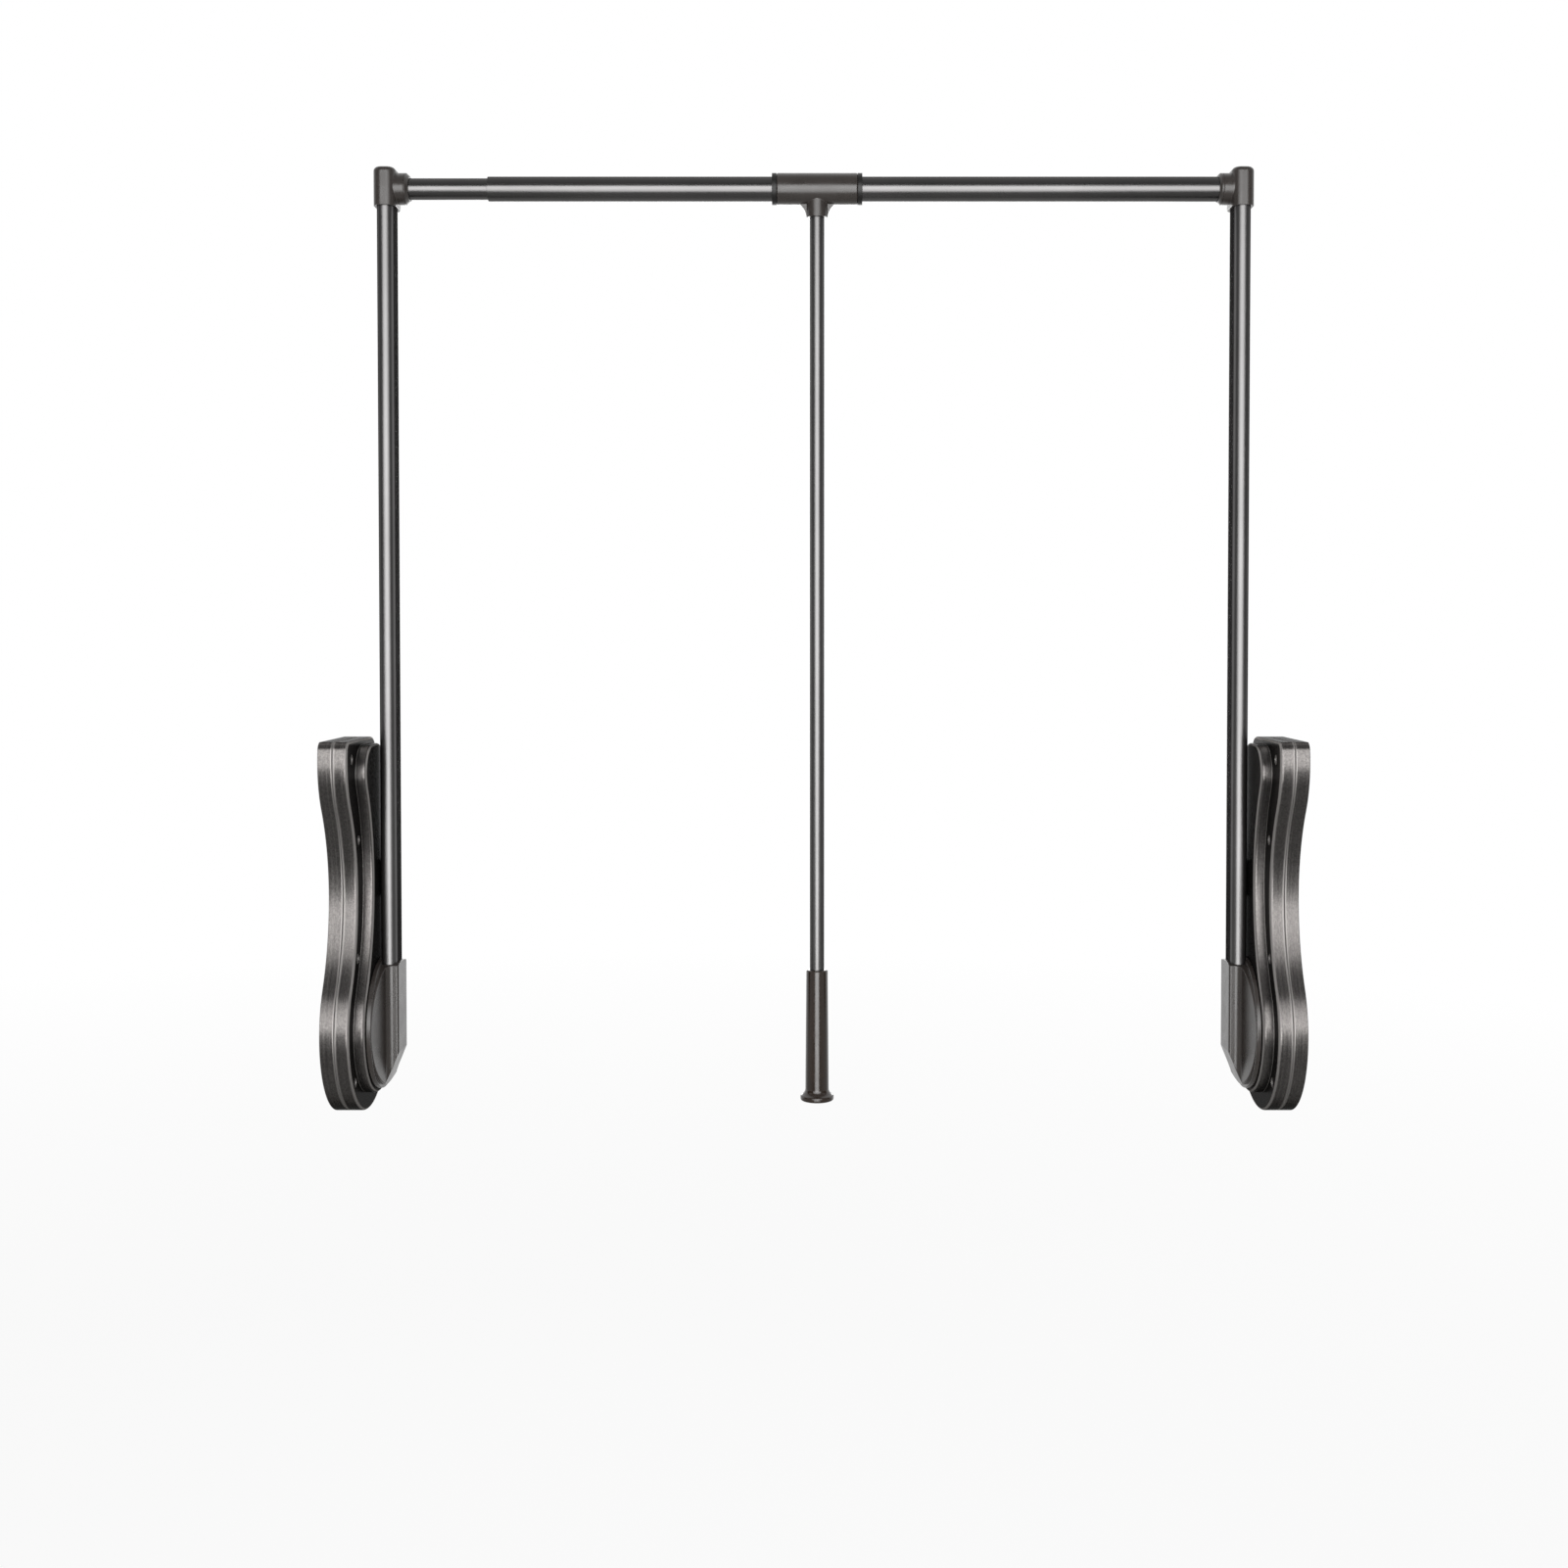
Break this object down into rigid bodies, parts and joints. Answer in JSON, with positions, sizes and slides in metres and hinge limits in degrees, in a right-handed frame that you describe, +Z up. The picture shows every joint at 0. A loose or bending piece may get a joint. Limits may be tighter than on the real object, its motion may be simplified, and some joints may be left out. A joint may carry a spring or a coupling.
{
  "type": "pull-down clothes rail",
  "caption": "Pull-down wardrobe rail: a telescopic rail on arms that swing forward and down from sprung side housings, drawn by a hanging rod with a grip.",
  "frame": {"origin": "on the left housing's outer face, at the pivot axis", "axes": "+X across the wardrobe to the right housing, +Y back into the wardrobe, +Z up; the front is -Y"},
  "size_m": [0.87, 0.16, 0.86],
  "materials": {
    "case_plastic": "moulded, dark bronze grey with a fine metallic grain",
    "coated_tube": "dark grey powder coat on a drawn tube",
    "fitting_plastic": "moulded, dark grey, satin",
    "black_plastic": "moulded, black, satin",
    "steel": "turned and cut steel",
    "black_steel": "black oxide",
    "bearing_plastic": "natural acetal",
    "die_cast": "die-cast, unpainted"
  },
  "bodies": {
    "left_housing": {"left_back_shell": "case_plastic", "left_front_cover": "case_plastic", "left_case_screws": "black_steel", "left_arm_stop": "black_plastic", "left_front_bush": "bearing_plastic", "left_rear_bush": "bearing_plastic", "left_spring_anchor": "die_cast", "left_spring_guide": "steel", "left_return_spring": "steel", "left_damper_body": "steel"},
    "left_arm": {"left_pivot_axle": "steel", "left_drive_gear": "steel", "left_axle_clip": "steel", "left_hub": "fitting_plastic", "left_hub_screws": "steel", "left_arm_tube": "coated_tube", "left_corner_connector": "fitting_plastic", "rail_inner_tube": "coated_tube", "rail_glide": "bearing_plastic"},
    "left_rack": {"left_rack": "steel", "left_damper_rod": "steel"},
    "rail": {"right_pivot_axle": "steel", "right_drive_gear": "steel", "right_axle_clip": "steel", "right_hub": "fitting_plastic", "right_hub_screws": "steel", "right_arm_tube": "coated_tube", "right_corner_connector": "fitting_plastic", "rail_outer_tube": "coated_tube"},
    "right_housing": {"right_back_shell": "case_plastic", "right_front_cover": "case_plastic", "right_case_screws": "black_steel", "right_arm_stop": "black_plastic", "right_front_bush": "bearing_plastic", "right_rear_bush": "bearing_plastic", "right_spring_anchor": "die_cast", "right_spring_guide": "steel", "right_return_spring": "steel", "right_damper_body": "steel"},
    "right_rack": {"right_rack": "steel", "right_damper_rod": "steel"},
    "tee_carriage": {"tee_ring_left": "black_plastic", "tee_ring_right": "black_plastic"},
    "pull_handle": {"tee_sleeve": "fitting_plastic", "pull_rod": "coated_tube", "grip": "black_plastic"}
  },
  "joints": [
    {"name": "lift_swing", "type": "hinge", "parent": "left_housing", "child": "left_arm", "pos_m": [0, 0, 0], "axis": [1, 0, 0], "range_deg": [0, 110], "stiffness_Nm_per_rad": 12, "springref_deg": -28.65},
    {"name": "rail_extend", "type": "slide", "parent": "left_arm", "child": "rail", "axis": [1, 0, 0], "range_m": [-0.068, 0.13]},
    {"name": "right_swing", "type": "hinge", "parent": "rail", "child": "right_housing", "pos_m": [0.87, 0, 0], "axis": [1, 0, 0], "range_deg": [-110, 0]},
    {"name": "left_rack_slide", "type": "slide", "parent": "left_housing", "child": "left_rack", "axis": [0, 0, 1], "range_m": [0, 0.0385], "deforming": ["left_return_spring"]},
    {"name": "right_rack_slide", "type": "slide", "parent": "right_housing", "child": "right_rack", "axis": [0, 0, 1], "range_m": [0, 0.0385], "deforming": ["right_return_spring"]},
    {"name": "tee_slide", "type": "slide", "parent": "rail", "child": "tee_carriage", "axis": [1, 0, 0], "range_m": [-0.25, 0.315]},
    {"name": "tee_swivel", "type": "hinge", "parent": "tee_carriage", "child": "pull_handle", "pos_m": [0.438, 0, 0.7625], "axis": [1, 0, 0], "continuous": true}
  ],
  "couplings": [
    {"joint": "right_swing", "follows": "lift_swing", "ratio": -1},
    {"joint": "left_rack_slide", "follows": "lift_swing", "m_per_rad": 0.02},
    {"joint": "right_rack_slide", "follows": "lift_swing", "m_per_rad": 0.02}
  ]
}
